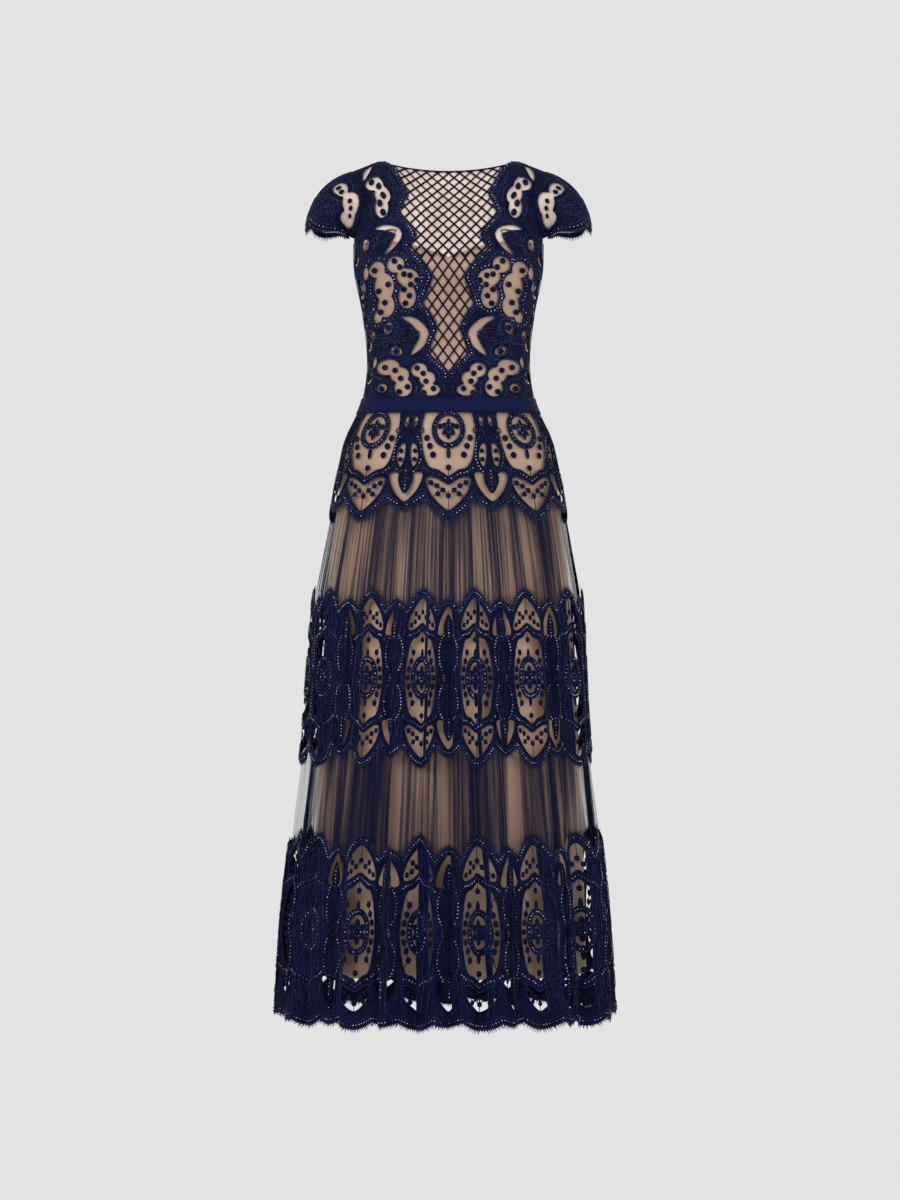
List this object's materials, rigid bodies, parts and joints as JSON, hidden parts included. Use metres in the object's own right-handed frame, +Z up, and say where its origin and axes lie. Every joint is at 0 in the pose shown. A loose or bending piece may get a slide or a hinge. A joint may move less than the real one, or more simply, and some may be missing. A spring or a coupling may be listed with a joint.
{
  "type": "lace gown",
  "caption": "Midi gown with a lace bodice, cap sleeves, a ribbon waist and a tiered skirt of lace and gathered tulle over a nude slip.",
  "frame": {"origin": "midway between the two neck points, where the shoulder seams begin, so the gown hangs below it", "axes": "+Z up, the front faces -Y, +X to the wearer's left"},
  "size_m": [0.5125, 0.4704, 1.2857],
  "materials": {
    "lace": "navy corded lace with sequins",
    "net": "navy diamond net",
    "tulle": "fine see-through navy tulle",
    "ribbon": "matte navy grosgrain",
    "lining": "nude satin",
    "mesh": "pale nude stretch mesh",
    "zip": "navy enamel"
  },
  "bodies": {
    "gown": {"lining_bodice_front": "lining", "lining_bodice_back_left": "lining", "lining_bodice_back_right": "lining", "yoke_mesh_front": "mesh", "yoke_mesh_back_left": "mesh", "yoke_mesh_back_right": "mesh", "lace_bodice_front_left": "lace", "lace_bodice_front_right": "lace", "lace_bodice_back_left": "lace", "lace_bodice_back_right": "lace", "net_front": "net", "sleeve_mesh_left": "mesh", "sleeve_mesh_right": "mesh", "sleeve_lace_left": "lace", "sleeve_lace_right": "lace", "waist_ribbon": "ribbon", "lining_skirt_front": "lining", "lining_skirt_back_left": "lining", "lining_skirt_back_right": "lining", "hip_lace_front": "lace", "hip_lace_back_left": "lace", "hip_lace_back_right": "lace", "upper_tulle_front": "tulle", "upper_tulle_back": "tulle", "middle_lace_front": "lace", "middle_lace_back": "lace", "lower_tulle_front": "tulle", "lower_tulle_back": "tulle", "hem_lace_front": "lace", "hem_lace_back": "lace", "zip_chain": "zip", "zip_slider": "zip"},
    "zip_pull": {"zip_pull_tab": "zip"}
  },
  "joints": [
    {"name": "zip_pull_hinge", "type": "hinge", "parent": "gown", "child": "zip_pull", "pos_m": [0, 0.06468, -0.0194], "axis": [1, 0, 0], "range_deg": [0, 150]}
  ]
}
